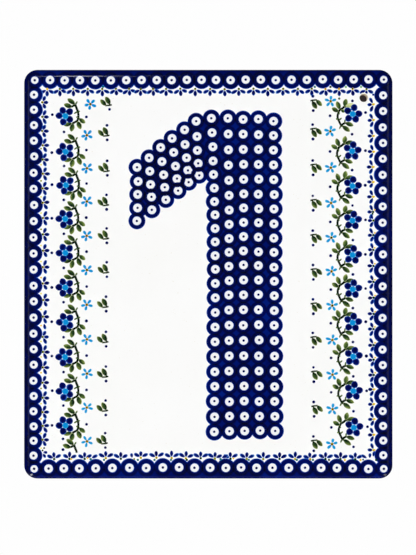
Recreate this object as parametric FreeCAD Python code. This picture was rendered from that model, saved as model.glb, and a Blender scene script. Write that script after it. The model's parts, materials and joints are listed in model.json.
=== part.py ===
import FreeCAD, Part
import os

from FreeCAD import Vector

# House number plaque: one pressed slab of glazed stoneware.
# X runs to the right, Z runs up, and the painted front looks along -Y.
# The origin is the middle of the wall plane, which the foot at the back lies on.

# Outline of the slab, seen from the front
PLAQUE_WIDTH = 190.0
PLAQUE_HEIGHT = 210.8
CORNER_RADIUS = 6.9

# Section of the slab
PLAQUE_THICKNESS = 9.5
FRONT_ROLL_RADIUS = 3.4
BACK_EDGE_RADIUS = 1.2

# The foot is a bare rim that stands proud of the glazed panel at the back
FOOT_WIDTH = 9.0
FOOT_HEIGHT = 1.5
PANEL_CORNER_RADIUS = 5.0
PANEL_ROOT_RADIUS = 0.8
FOOT_LIP_RADIUS = 0.4

# Hanging hole, pierced in the soft slab near the top right corner
HOLE_RADIUS = 2.1
HOLE_TO_SIDE = 15.1
HOLE_TO_TOP = 14.7
HOLE_MOUTH_RADIUS = 0.35

NUDGE = 0.001


def edges_on(shape, low, high):
    """The edges that lie inside the box between two corners."""
    box = FreeCAD.BoundBox(low, high)
    box.enlarge(NUDGE)
    return [edge for edge in shape.Edges if box.isInside(edge.BoundBox)]


def block(width, height, corner_radius, front_y, back_y):
    """A block with four rounded upright corners, centred on the Y axis."""
    corner = Vector(-width / 2, front_y, -height / 2)
    body = Part.makeBox(width, back_y - front_y, height, corner)
    along_y = [edge for edge in body.Edges if edge.BoundBox.YLength > NUDGE]
    return body.makeFillet(corner_radius, along_y)


def ring_at(shape, y, half_width, half_height):
    """The closed run of edges at one depth, no wider than the given half sizes."""
    low = Vector(-half_width, y, -half_height)
    high = Vector(half_width, y, half_height)
    return edges_on(shape, low, high)


# Slab: the front edge rolls over softly, the back edge is only eased
front_y = -PLAQUE_THICKNESS
half_width = PLAQUE_WIDTH / 2
half_height = PLAQUE_HEIGHT / 2
slab = block(PLAQUE_WIDTH, PLAQUE_HEIGHT, CORNER_RADIUS, front_y, 0.0)
slab = slab.makeFillet(FRONT_ROLL_RADIUS, ring_at(slab, front_y, half_width, half_height))
slab = slab.makeFillet(BACK_EDGE_RADIUS, ring_at(slab, 0.0, half_width, half_height))

# Panel: the back is sunk inside the foot, with a soft root and lip
panel_width = PLAQUE_WIDTH - 2 * FOOT_WIDTH
panel_height = PLAQUE_HEIGHT - 2 * FOOT_WIDTH
panel = block(panel_width, panel_height, PANEL_CORNER_RADIUS, -FOOT_HEIGHT, 0.0)
slab = slab.cut(panel)
half_panel = (panel_width / 2, panel_height / 2)
slab = slab.makeFillet(PANEL_ROOT_RADIUS, ring_at(slab, -FOOT_HEIGHT, *half_panel))
slab = slab.makeFillet(FOOT_LIP_RADIUS, ring_at(slab, 0.0, *half_panel))

# Hanging hole: straight through from the panel to the face, with softened mouths
hole_x = half_width - HOLE_TO_SIDE
hole_z = half_height - HOLE_TO_TOP
hole_start = Vector(hole_x, front_y - 1.0, hole_z)
bore = Part.makeCylinder(HOLE_RADIUS, PLAQUE_THICKNESS + 2.0, hole_start, Vector(0, 1, 0))
slab = slab.cut(bore)
reach = Vector(HOLE_RADIUS, 0, HOLE_RADIUS)
for mouth_y in (front_y, -FOOT_HEIGHT):
    middle = Vector(hole_x, mouth_y, hole_z)
    mouth = edges_on(slab, middle - reach, middle + reach)
    slab = slab.makeFillet(HOLE_MOUTH_RADIUS, mouth)

plaque = slab.Solids[0]

os.makedirs("parts", exist_ok=True)
plaque.exportStep("parts/plaque.step")

bore_length = PLAQUE_THICKNESS - FOOT_HEIGHT - 2 * HOLE_MOUTH_RADIUS
print("solids", len(slab.Solids), "valid", plaque.isValid())
print("box", plaque.BoundBox)
print("volume in cubic centimetres", round(plaque.Volume / 1000, 1))
print("hanging hole at", round(hole_x, 2), round(hole_z, 2), "bore length", bore_length)
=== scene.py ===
# %% [markdown]
# This lesson rebuilds a stoneware house number plaque: a nearly square slab of clay, as tall as a
# large hand is long, with a numeral and a flowered border stamped on it under a clear glaze. The
# measured shape comes first, from the model: everything made here stays inside it.
# All the drawing below is done in millimetres, and turned into metres in one place at the end.

# %% Load the measured model
import json
import math
import random
import bpy
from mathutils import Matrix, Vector
from mathutils.geometry import delaunay_2d_cdt


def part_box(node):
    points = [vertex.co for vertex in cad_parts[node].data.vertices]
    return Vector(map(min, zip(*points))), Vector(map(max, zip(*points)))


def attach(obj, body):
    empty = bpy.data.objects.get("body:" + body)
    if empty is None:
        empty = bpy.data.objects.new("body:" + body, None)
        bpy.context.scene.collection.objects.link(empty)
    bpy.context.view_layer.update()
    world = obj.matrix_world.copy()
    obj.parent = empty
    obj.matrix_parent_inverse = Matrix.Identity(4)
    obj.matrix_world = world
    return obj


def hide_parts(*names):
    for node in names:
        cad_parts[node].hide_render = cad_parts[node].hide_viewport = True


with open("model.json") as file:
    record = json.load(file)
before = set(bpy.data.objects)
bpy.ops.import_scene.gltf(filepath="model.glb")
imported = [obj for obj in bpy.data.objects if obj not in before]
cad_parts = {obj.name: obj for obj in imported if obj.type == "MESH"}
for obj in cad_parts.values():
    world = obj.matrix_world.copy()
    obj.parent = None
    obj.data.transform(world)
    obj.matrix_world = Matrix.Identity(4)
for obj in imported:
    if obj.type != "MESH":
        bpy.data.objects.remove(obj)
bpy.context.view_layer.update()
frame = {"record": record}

MM = 0.001
low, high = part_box("plaque")
WIDTH = (high.x - low.x) / MM
HEIGHT = (high.z - low.z) / MM
THICKNESS = (high.y - low.y) / MM
print(f"plaque {WIDTH:.1f} wide, {HEIGHT:.1f} high, {THICKNESS:.1f} thick, in mm")

# %% [markdown]
# A pressed tile of clay has no sharp edge anywhere. Its front rolls over softly, its back edge is
# wiped round, and it stands on a low rim, the foot, which keeps the glazed middle of the back off
# the kiln shelf. These few sizes are those of the measured model, apart from one: the front starts
# to roll over a little further in, because the photograph's bright line lies that far from the edge.

# %% Sizes of the fired clay
CORNER_RADIUS = 6.9
FRONT_ROLL = 3.4
ROLL_WIDTH = 5.2
BACK_EDGE = 1.2
FOOT_WIDTH = 9.0
FOOT_HEIGHT = 1.5
FOOT_LIP = 0.4
PANEL_CORNER = 5.0
PANEL_ROOT = 0.8
HOLE_MOUTH = 0.35
mounts = {mount["name"]: mount for mount in frame["record"]["mounts"]}
hole_x, _, hole_z = (along / MM for along in mounts["hanging_hole"]["pos_m"])
HOLE_RADIUS = mounts["hanging_hole"]["dims"]["r_mm"]
MOUTH_RADIUS = HOLE_RADIUS + HOLE_MOUTH
hole_middle = Vector((hole_x, hole_z))
print(f"hanging hole at {hole_x:.1f}, {hole_z:.1f}, radius {HOLE_RADIUS:.1f} mm")

# %% [markdown]
# The outline is a rectangle with round corners. Every loop of points round the plaque is made by
# one function with the same number of points, so loops at different depths join one to one, and
# the skin between them has no gap. Each point also knows which way is out, for smooth shading.

# %% A loop of points round the plaque
CORNER_STEPS = 12
SIDE_STEPS = 24
CORNER_SIGNS = ((1, 1), (-1, 1), (-1, -1), (1, -1))


def round_loop(inset, corner):
    """Points and outward directions round the plaque, inset from its edge, seen from the front."""
    half = Vector((WIDTH / 2 - inset - corner, HEIGHT / 2 - inset - corner))
    middles = [Vector((half.x * across, half.y * up)) for across, up in CORNER_SIGNS]
    loop = []
    for quarter, middle in enumerate(middles):
        for step in range(CORNER_STEPS + 1):
            turn = math.radians(90 * (quarter + step / CORNER_STEPS))
            out = Vector((math.cos(turn), math.sin(turn)))
            loop.append((middle + corner * out, out))
        here, there = loop[-1][0], middles[(quarter + 1) % 4] + corner * out
        for step in range(1, SIDE_STEPS):
            loop.append((here.lerp(there, step / SIDE_STEPS), out))
    return loop


print(len(round_loop(0, CORNER_RADIUS)), "points in each loop round the plaque")

# %% [markdown]
# The front could be bent with a bevel, but then the prints on it would bend with no control. So the
# roll is a formula, a quarter of an ellipse: it gives the depth and the slope at any place, and each
# point of each print is lifted by it later.

# %% How far the front has rolled back at a place

def edge_depth(x, z):
    """Distance in from the outline, and the outward direction there."""
    across = abs(x) - (WIDTH / 2 - CORNER_RADIUS)
    up = abs(z) - (HEIGHT / 2 - CORNER_RADIUS)
    beyond = Vector((max(across, 0.0), max(up, 0.0)))
    depth = CORNER_RADIUS - min(max(across, up), 0.0) - beyond.length
    if beyond.length > 0:
        out = beyond.normalized()
    else:
        out = Vector((1, 0)) if across > up else Vector((0, 1))
    return depth, Vector((math.copysign(out.x, x), math.copysign(out.y, z)))


def front_surface(x, z):
    """The y of the front at a place in plan, and its normal."""
    depth, out = edge_depth(x, z)
    if depth >= ROLL_WIDTH:
        return -THICKNESS, Vector((0, -1, 0))
    outward = 1 - max(depth, 0.0) / ROLL_WIDTH
    forward = math.sqrt(max(1 - outward * outward, 0.0))
    y = -THICKNESS + FRONT_ROLL * (1 - forward)
    slope = Vector((outward * FRONT_ROLL, forward * ROLL_WIDTH)).normalized()
    return y, Vector((out.x * slope.x, -slope.y, out.y * slope.x))


print(f"front at the edge: y {front_surface(WIDTH / 2, 0)[0]:.2f} mm")

# %% [markdown]
# The painter cuts small sponges and foam stamps, dips them in cobalt or green slip and presses
# them on the raw clay, one by one, by eye. So no two gaps in a row are quite alike, and each row
# drifts and comes back. A row here has its two ends, its count and a slow sway between them, and
# every print is then nudged and turned a little by seeded chance.

# %% Spacing by hand
HAND_SEED = 41
hand = random.Random(HAND_SEED)
PRINT_WANDER = 0.08


def swayed(start, end, part, sway=()):
    """A place part of the way along a row whose spacing swells and closes slowly."""
    place = start + (end - start) * part
    for wave, size in enumerate(sway, 1):
        place += size * math.sin(wave * math.pi * part)
    return place


def row_of(count, along_x, along_z, sway_x=(), sway_z=(), first=0.0, last=1.0):
    """Places of a row of prints, each a little off its mark."""
    places = []
    for step in range(count):
        part = first + (last - first) * step / (count - 1)
        x = swayed(*along_x, part, sway_x) + hand.gauss(0, PRINT_WANDER)
        z = swayed(*along_z, part, sway_z) + hand.gauss(0, PRINT_WANDER)
        places.append(Vector((x, z)))
    return places


print(f"each print of a row lands about {PRINT_WANDER} mm off its mark")

# %% [markdown]
# Each print becomes a closed shape in plan. All of them are kept in one list in the order in
# which they were pressed, with the name of their colour and a small grid of their own, from -1 to
# 1 along and across. The colours use that grid later, for pooled edges. A print could be a picture
# laid on the clay, but shapes keep a clean edge from any distance.

# %% The list of prints
PRINT_MARGIN, HOLE_MARGIN = 0.03, 0.12
print_points = []
print_shapes = []
prints = []


def kept_inside(point):
    """The same point, or the nearest one on the glaze if a print runs over its edge."""
    away = point - hole_middle
    if away.length < MOUTH_RADIUS + HOLE_MARGIN:
        return hole_middle + away.normalized() * (MOUTH_RADIUS + HOLE_MARGIN)
    depth, out = edge_depth(point.x, point.y)
    return point - out * max(PRINT_MARGIN - depth, 0.0)


def press(colour, shape, middle, along, across, third=0.0):
    """Adds a printed shape with its half lengths; third is its shade, or a ring's inner ratio."""
    start = len(print_points)
    print_points.extend(kept_inside(point) for point in shape)
    print_shapes.append(list(range(start, start + len(shape))))
    prints.append({
        "colour": colour,
        "middle": middle,
        "along": along / along.length_squared,
        "across": across / across.length_squared,
        "third": third,
    })
    return len(prints) - 1


def circle(middle, radius, count, start=0.0):
    """A ring of points, counter-clockwise."""
    turns = [start + math.tau * step / count for step in range(count)]
    return [middle + radius * Vector((math.cos(turn), math.sin(turn))) for turn in turns]


def turned(point, degrees):
    """A vector turned counter-clockwise."""
    turn = math.radians(degrees)
    return Vector((point.x * math.cos(turn) - point.y * math.sin(turn),
                   point.x * math.sin(turn) + point.y * math.cos(turn)))


print(f"prints stop {PRINT_MARGIN} mm from the edge and {HOLE_MARGIN} mm from the hole")

# %% [markdown]
# Three kinds of shape make the whole pattern. A dab is the round end of a stick. A blade is a
# petal or a leaf, whose widest place is nearer its root or its tip. A stroke is a thin brush
# line through a few points, smoothed and thinner towards its end. Each is worked out from its few
# sizes, so that a change of one number redraws it.

# %% Dab, blade and stroke
BLADE_STEPS = 9
STROKE_STEPS = 4
STROKE_OVERLAP = 0.2
EVEN_GRID = 50


def dab(colour, middle, radius, shade=0.0, count=14):
    """A round spot."""
    start = hand.uniform(0, math.tau)
    shape = circle(middle, radius, count, start)
    return press(colour, shape, middle, Vector((radius, 0)), Vector((0, radius)), shade)


def blade(colour, root, tip, width, root_power=0.6, tip_power=0.6, shade=0.0, flip=False):
    """A petal or leaf between two points; a small power is a round end, a large one a point."""
    length = tip - root
    side = Vector((-length.y, length.x)).normalized() * (width / 2)
    fullest = root_power / (root_power + tip_power)
    most = fullest ** root_power * (1 - fullest) ** tip_power
    left, right = [], []
    for step in range(1, BLADE_STEPS):
        part = (1 - math.cos(math.pi * step / BLADE_STEPS)) / 2
        swell = part ** root_power * (1 - part) ** tip_power / most
        right.append(root + length * part - side * swell)
        left.append(root + length * part + side * swell)
    shape = [root, *right, tip, *reversed(left)]
    return press(colour, shape, root + length / 2, length / 2, -side if flip else side, shade)


def smoothed(points):
    """More points along a curve through the given ones."""
    padded = [points[0], *points, points[-1]]
    curve = []
    for before, here, there, after in zip(padded, padded[1:], padded[2:], padded[3:]):
        for step in range(STROKE_STEPS):
            t = step / STROKE_STEPS
            bend = (2 * here + (there - before) * t
                    + (2 * before - 5 * here + 4 * there - after) * t * t
                    + (3 * here - before - 3 * there + after) * t * t * t)
            curve.append(bend / 2)
    return [*curve, points[-1]]


def stroke(colour, points, width, end_width, shade=0.0):
    """A brush line; each short length of it is one shape, so bends stay clean."""
    curve = smoothed(points)
    last = len(curve) - 1
    for step, (here, there) in enumerate(zip(curve, curve[1:])):
        run = there - here
        side = Vector((-run.y, run.x)).normalized()
        start_half = (width + (end_width - width) * step / last) / 2
        end_half = (width + (end_width - width) * (step + 1) / last) / 2
        lap = run * STROKE_OVERLAP
        shape = [here - side * start_half - lap, there - side * end_half + lap,
                 there + side * end_half + lap, here + side * start_half - lap]
        press(colour, shape, here + run / 2, run * EVEN_GRID, side * start_half, shade)


print(f"a blade has {2 * BLADE_STEPS} points, and a stroke {STROKE_STEPS} lengths to each point")

# %% [markdown]
# The eye is the best known stamp of this kind of pottery: a ring of cobalt with a bare middle,
# and a dot pressed inside it afterwards with the tip of a stick. Where two rings lie over each
# other the cobalt is doubled, and fires nearly black. The sponge's edge is soft, so the ring is
# drawn a little wider than it looks, and its colour fades out over that width.

# %% The eye stamp
OUTER_EDGE, INNER_EDGE = 0.21, 0.2
DOT_WANDER = 0.05
LARGEST_START = 0.1
RING_POINTS, DISC_POINTS = 36, 28
eyes = []


def stamp_eye(middle, bare_radius, ring_radius, dot_radius=0.68, dot_shade=0.1):
    """One ring with its bare disc and dot."""
    outer, inner = ring_radius + OUTER_EDGE, bare_radius - INNER_EDGE
    middle = middle.copy()
    ratio = inner / outer
    reach_x, reach_z = Vector((outer, 0)), Vector((0, outer))
    start = hand.uniform(0, LARGEST_START)
    ring_shape = circle(middle, outer, RING_POINTS, start)
    disc_shape = circle(middle, inner, DISC_POINTS, start)
    ring = press("ring", ring_shape, middle, reach_x, reach_z, ratio)
    disc = press("disc", disc_shape, middle, reach_x, reach_z, ratio)
    wander = Vector((hand.gauss(0, DOT_WANDER), hand.gauss(0, DOT_WANDER)))
    dab("brushed_cobalt", middle + wander, dot_radius, dot_shade)
    eyes.append((ring, disc))


print(f"a ring fades out over {OUTER_EDGE} mm outside and {INNER_EDGE} mm inside")

# %% [markdown]
# Here the two sides are stamped first, then the top and the bottom, and the four corners last, so
# that the rings overlap as on the plaque. The stamps differ a little, so each side has its own sizes
# of bare disc and ring.

# %% The frame of eyes round the edge
TOP_BARE, TOP_RING = 2.32, 4.57
LOW_BARE, LOW_RING = 2.38, 4.7
SIDE_BARE, SIDE_RING = 2.22, 4.43
CORNER_BARE = 2.09
top_row = row_of(24, (-89.2, 90.3), (99.7, 100.1), sway_x=(-0.4, 0.4, 0.0, -0.3))
bottom_row = row_of(23, (-89.6, 90.2), (-100.1, -100.1), (0.3, -0.3, -0.4, -0.6), (0.7,))
left_column = row_of(26, (-89.6, -89.8), (100.1, -100.7), (-0.1,), (-1.4, 1.2, 0.0, 0.2))
right_column = row_of(26, (89.8, 89.9), (100.2, -100.5), (-0.2,), (-2.2, 0.7, -0.3, 0.1))
for place in left_column[1:-1] + right_column[1:-1]:
    stamp_eye(place, SIDE_BARE, SIDE_RING)
for place in top_row[1:-1]:
    stamp_eye(place, TOP_BARE, TOP_RING)
for place in bottom_row[1:-1]:
    stamp_eye(place, LOW_BARE, LOW_RING)
for place in (top_row[0], top_row[-1], bottom_row[0], bottom_row[-1]):
    stamp_eye(place, CORNER_BARE, SIDE_RING)
print(len(eyes), "eyes in the frame")

# %% [markdown]
# The numeral is filled with eyes of nearly the same size, in five upright rows. Its flag is a patch of
# six by five eyes that fans out to the left, with bowed sides. The patch is drawn from its four
# corners and how far each side swells.

# %% The numeral
NUMERAL_BARE, NUMERAL_DOT, NUMERAL_SHADE = 2.42, 0.65, 0.1
STEM_RING, FLAG_RING = 4.31, 4.18
stem_rows = [
    row_of(23, (1.7, 3.2), (80.2, -80.9), (1.1, 0.2), (2.4, -0.6, -0.4, -0.1)),
    row_of(22, (10.1, 10.9), (80.2, -80.7), (0.2, 0.2), (0.0, -0.9, -0.6, 0.1)),
    row_of(22, (17.9, 18.7), (79.8, -80.6), (-0.2, 0.2), (0.7, -0.4, -0.5)),
    row_of(22, (25.8, 26.5), (79.6, -80.5), (-0.3, 0.1), (0.7, -0.4, -0.5, 0.2)),
    row_of(22, (33.5, 34.3), (78.7, -80.6), (-0.1, 0.1), (0.8, -0.2, -0.2, 0.2)),
]
FLAG_COLUMNS, FLAG_ROWS, FLAG_WANDER = 6, 5, 0.15
FLAG_TOP_LEFT, FLAG_TOP_RIGHT = Vector((-36.6, 54.8)), Vector((-6.5, 78.7))
FLAG_LOW_LEFT, FLAG_LOW_RIGHT = Vector((-36.7, 27.6)), Vector((-4.7, 50.9))
FLAG_TOP_SWELL, FLAG_LOW_SWELL = Vector((-0.1, 0.7)), Vector((2.0, 1.6))
FLAG_LEFT_SWELL, FLAG_RIGHT_SWELL = Vector((0.4, -0.4)), Vector((0.0, -1.2))


def flag_place(along, down):
    """A place in the flag, along it from left to right and down it, each from 0 to 1."""
    top = FLAG_TOP_LEFT.lerp(FLAG_TOP_RIGHT, along)
    low_side = FLAG_LOW_LEFT.lerp(FLAG_LOW_RIGHT, along)
    swell = FLAG_TOP_SWELL.lerp(FLAG_LOW_SWELL, down) * math.sin(math.pi * along)
    swell += FLAG_LEFT_SWELL.lerp(FLAG_RIGHT_SWELL, along) * math.sin(math.pi * down)
    return top.lerp(low_side, down) + swell


flag = [[flag_place(column / (FLAG_COLUMNS - 1), step / (FLAG_ROWS - 1))
         + Vector((hand.gauss(0, FLAG_WANDER), hand.gauss(0, FLAG_WANDER)))
         for step in range(FLAG_ROWS)] for column in range(FLAG_COLUMNS)]
numeral_start = len(eyes)
for rows, ring in ((stem_rows, STEM_RING), (flag, FLAG_RING)):
    for place in (place for row in rows for place in row):
        stamp_eye(place, NUMERAL_BARE, ring, NUMERAL_DOT, NUMERAL_SHADE)
print(len(eyes) - numeral_start, "eyes in the numeral")

# %% [markdown]
# Before the eyes, a brush of thinner cobalt went along the rim and under the numeral. It shows
# as the lighter blue wherever the rings leave a gap. On the rim it starts at the middles of the
# border eyes, so the border keeps its clean scalloped edge towards the white field. Here it is
# only marked, for the finish of the rings to add, so it may come after them in the list.

# %% Where the thin cobalt lies
FIELD_LEFT, FIELD_RIGHT, FIELD_LOW, FIELD_TOP = -89.7, 89.8, -100.0, 99.9
FLAG_JOIN = 5


def mark_area(name, corners):
    """An area that needs no grid of its own."""
    return press(name, corners, Vector((0, 0)), Vector((1, 0)), Vector((0, 1)))


field = mark_area("field", [Vector(corner) for corner in (
    (FIELD_LEFT, FIELD_TOP), (FIELD_LEFT, FIELD_LOW), (FIELD_RIGHT, FIELD_LOW),
    (FIELD_RIGHT, FIELD_TOP))])
mark_area("wash", [*stem_rows[0], stem_rows[2][-1], *reversed(stem_rows[4]), stem_rows[2][0]])
mark_area("wash", [*flag[0], *(column[-1] for column in flag[1:]),
                   *reversed(stem_rows[0][:FLAG_JOIN]), *(column[0] for column in reversed(flag[1:]))])
print(f"white field {FIELD_RIGHT - FIELD_LEFT:.0f} by {FIELD_TOP - FIELD_LOW:.0f} mm")

# %% [markdown]
# Inside the frame runs a row of small half flowers, one petal straight into the field and two
# spread sideways. Each is drawn as if it hung from the top edge, and turned for the other three
# sides. Its middle is two touches: a spot of yellow or olive, and a darker one sunk into it. The
# touches share one scale of colours, so each is only a number on it.

# %% One half flower
TOP_PETALS = (((0.0, -0.5), (0.0, -3.7), 1.9), ((-0.5, -0.45), (-3.5, -2.1), 1.8),
              ((0.55, -0.45), (3.5, -1.9), 1.8))
SHORT_PETALS = (((0.0, -0.5), (-0.1, -2.5), 1.5), *TOP_PETALS[1:])
LOW_PETALS = (((0.0, -0.5), (0.0, -3.5), 1.8), ((-0.6, -0.5), (-3.7, -1.95), 1.8),
              ((0.5, -0.45), (3.5, -2.1), 1.9))
LEFT_PETALS = (((0.0, -0.4), (-0.05, -3.35), 1.85), ((-0.55, -0.3), (-3.5, -1.75), 1.8),
               ((0.5, -0.3), (3.5, -1.55), 1.8))
RIGHT_PETALS = (((0.0, -0.35), (0.0, -3.0), 1.8), ((-0.6, -0.2), (-3.5, -1.45), 1.65),
                ((0.6, -0.1), (3.5, -1.65), 1.75))
SPOT, HEART = 0.66, 0.45
SPOT_BACK, HEART_BACK = 0.08, 0.22
MIDDLE_ROUND, SIDE_ROUND = (0.85, 0.68), (0.72, 0.5)
MIDDLE_SHADE, SIDE_SHADE, SHADE_WANDER = 0.65, 1.0, 0.15
LEAN_WANDER, REACH_WANDER = 3, 0.04
BROWN, AMBER, YELLOW, OLIVE, GREEN, TEAL, PALE_GREEN, PALE_YELLOW = (
    0.0, 0.15, 0.3, 0.45, 0.6, 0.75, 0.87, 1.0)


def half_flower(place, facing, drawing, spot, heart=None, petals=(0, 1, 2)):
    """A half flower turned by facing degrees from hanging down."""
    lean = facing + hand.gauss(0, LEAN_WANDER)
    for number in petals:
        root, tip, width = drawing[number]
        reach = 1 + hand.gauss(0, REACH_WANDER)
        roundness, shade = (SIDE_ROUND, SIDE_SHADE) if number else (MIDDLE_ROUND, MIDDLE_SHADE)
        blade("brushed_cobalt", place + turned(Vector(root) * reach, lean),
              place + turned(Vector(tip) * reach, lean), width, *roundness,
              shade=shade + hand.gauss(0, SHADE_WANDER))
    dab("centre_colour", place + turned(Vector((0, SPOT_BACK)), lean), SPOT, spot)
    if heart is not None:
        dab("centre_colour", place + turned(Vector((0, HEART_BACK)), lean), HEART, heart)


print(f"a half flower is about {2 * TOP_PETALS[2][1][0]:.0f} mm across")

# %% [markdown]
# The rows of half flowers are swayed rows again, with breaks where the painter began afresh. The
# brush was dipped now and then, so the middles go from clear yellow to dark green along a row.

# %% The four rows of half flowers
YELLOW_TOP, AMBER_TOP = (0, 20, 21, 22), (20, 21)
YELLOW_LOW, OLIVE_LOW = (3, 5, 6, 7, 8, 15, 16), (10, 12, 13)
GREEN_RIGHT = range(7, 18)
PARTED = (0, 1)
top_halves = row_of(24, (-82.9, 81.3), (95.15, 95.15),
                    sway_x=(-1.6, -0.6, 0.8, 0.2, -0.1, -0.3, -0.4))
bottom_halves = row_of(3, (-79.3, -63.5), (-94.95, -94.75))
bottom_halves += row_of(2, (-52.5, -44.9), (-94.45, -94.75))
bottom_halves += row_of(15, (-34.7, 75.7), (-94.2, -94.95),
                        (-0.45, -0.57, 0.36, 0.37), (-0.3,))
left_halves = row_of(15, (-85.25, -84.9), (88.4, -21.7), (0.15,), (3.0, -0.2, -0.3))
left_halves += row_of(8, (-84.95, -85.2), (-32.3, -85.2), sway_z=(-0.9, 0.2))
right_halves = row_of(8, (84.7, 84.6), (87.4, 32.1), sway_z=(-0.7,))
right_halves += row_of(15, (84.75, 84.95), (20.2, -90.5), (0.15,), (-0.8, -0.1, 0.3))
for number, place in enumerate(top_halves):
    spot = YELLOW if number in YELLOW_TOP else OLIVE - hand.uniform(0, 0.06)
    heart = None if number == 0 else AMBER if number in AMBER_TOP else GREEN
    half_flower(place, 0, TOP_PETALS if place != top_halves[-1] else SHORT_PETALS, spot, heart)
for number, place in enumerate(bottom_halves):
    yellow, olive = number in YELLOW_LOW, number in OLIVE_LOW
    spot = YELLOW if yellow else OLIVE if olive else GREEN
    half_flower(place, 180, LOW_PETALS, spot, OLIVE if yellow or olive else GREEN)
for place in left_halves:
    half_flower(place, 90, LEFT_PETALS, OLIVE - hand.uniform(0, 0.1), GREEN)
for number, place in enumerate(right_halves):
    spot, heart = (GREEN, GREEN) if number in GREEN_RIGHT else (YELLOW, OLIVE)
    petals = PARTED if place == right_halves[-1] else (0, 1, 2)
    half_flower(place, -90, RIGHT_PETALS, spot, heart, petals)
print(len(top_halves + bottom_halves + left_halves + right_halves), "whole half flowers")

# %% [markdown]
# Where two runs of half flowers meet, the painter fills the gap with part of a flower or a petal
# or two. Between two eyes they often leave a dab of what is on the brush: yellow down the left side
# and beside each half flower of the right, and mostly a watery green along the top and bottom.

# %% Part flowers and dabs in the notches
for across in (-60.5, 6.3):
    half_flower(Vector((across, -95.0)), 180, LOW_PETALS, TEAL, petals=(1,))
half_flower(Vector((84.8, 27.6)), -90, RIGHT_PETALS, OLIVE, GREEN)
LOOSE_WIDTH, LOOSE_ROUND, LOOSE_SHADE = 1.6, (0.8, 0.5), 0.9
for root, tip in (((-39.2, -94.4), (-39.6, -92.0)), ((-84.5, -25.4), (-83.8, -28.4)),
                  ((-84.9, -91.4), (-82.7, -91.8)), ((-84.9, -92.2), (-83.7, -94.4)),
                  ((81.5, -94.6), (78.6, -92.9)), ((83.0, -94.5), (83.2, -92.0)),
                  ((84.7, -93.8), (85.5, -90.9))):
    blade("brushed_cobalt", Vector(root), Vector(tip), LOOSE_WIDTH, *LOOSE_ROUND, LOOSE_SHADE)
NOTCH_DAB, SMALL_DAB = 0.62, 0.5
TOP_NOTCH, LOW_NOTCH, LEFT_NOTCH = 96.3, -95.5, -86.0
TOP_DABS = {4: TEAL, 18: TEAL, 19: GREEN, 20: PALE_GREEN, 21: PALE_GREEN}
LOW_DABS = {4: TEAL, 6: TEAL, 7: TEAL, 8: TEAL, 9: GREEN, 13: TEAL, 16: TEAL, 17: TEAL, 18: GREEN,
            19: YELLOW, 20: YELLOW, 21: GREEN}
LEFT_OLIVE = (4, 6, 9, 19)
for row, up, shades in ((top_row, TOP_NOTCH, TOP_DABS), (bottom_row, LOW_NOTCH, LOW_DABS)):
    for number, shade in shades.items():
        across = (row[number].x + row[number + 1].x) / 2
        dab("centre_colour", Vector((across, up)), NOTCH_DAB, shade)
for number in range(4, 24):
    up = (left_column[number].y + left_column[number + 1].y) / 2
    shade = OLIVE if number in LEFT_OLIVE else PALE_YELLOW if number % 3 else YELLOW
    dab("centre_colour", Vector((LEFT_NOTCH, up)), SMALL_DAB, shade)
for number, place in enumerate(right_halves):
    beside = Vector((0.8, 1.1)) if number in GREEN_RIGHT else Vector((0.5, 0.1))
    dab("centre_colour", place + beside, SMALL_DAB, YELLOW)
for x, z, shade in ((-70.4, -95.0, YELLOW), (-62.1, -94.6, YELLOW), (12.9, -94.7, YELLOW),
                    (-38.1, -95.0, OLIVE), (-85.2, -90.6, GREEN), (-84.4, -89.4, GREEN),
                    (79.6, -95.3, TEAL), (84.4, 31.0, GREEN)):
    dab("centre_colour", Vector((x, z)), SMALL_DAB, shade)
print(len(prints), "prints so far")

# %% [markdown]
# Down each side goes a band of twigs with one large flower each. The two bands are alike but not
# the same, for the twig bends the other way on the right. Each twig is drawn once, about
# the middle of its flower: a stem, side shoots, thorns and leaves, each leaf from its root to its
# tip with its width.

# %% The drawings of the two twigs
LEFT_TWIG = {
    "stem": ((5.1, 5.9), (5.8, 4.0), (6.25, 2.9), (6.5, 2.0), (6.7, 0.8), (6.65, -0.5),
             (6.45, -1.6), (6.0, -2.5), (4.4, -3.4), (3.6, -3.75)),
    "shoots": (((5.1, 5.85), (4.0, 5.2), (3.0, 4.8)), ((6.6, -1.1), (7.3, -1.5)),
               ((6.1, -2.4), (6.3, -3.1)), ((4.0, -3.6), (3.95, -4.3))),
    "thorns": (((5.2, 6.0), (6.2, 7.6)), ((6.4, 2.5), (7.6, 2.35)), ((6.4, 2.4), (4.4, 1.2)),
               ((6.7, -0.4), (5.5, -0.65))),
    "leaves": (((4.8, 6.2), (1.25, 8.85), 2.1), ((3.2, 4.7), (-0.6, 6.0), 2.15),
               ((7.2, -1.4), (10.1, -3.5), 1.95), ((6.35, -2.8), (7.9, -6.6), 2.25),
               ((3.95, -4.0), (3.0, -7.85), 2.2), ((3.2, -3.7), (-0.6, -4.8), 1.85)),
}
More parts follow.
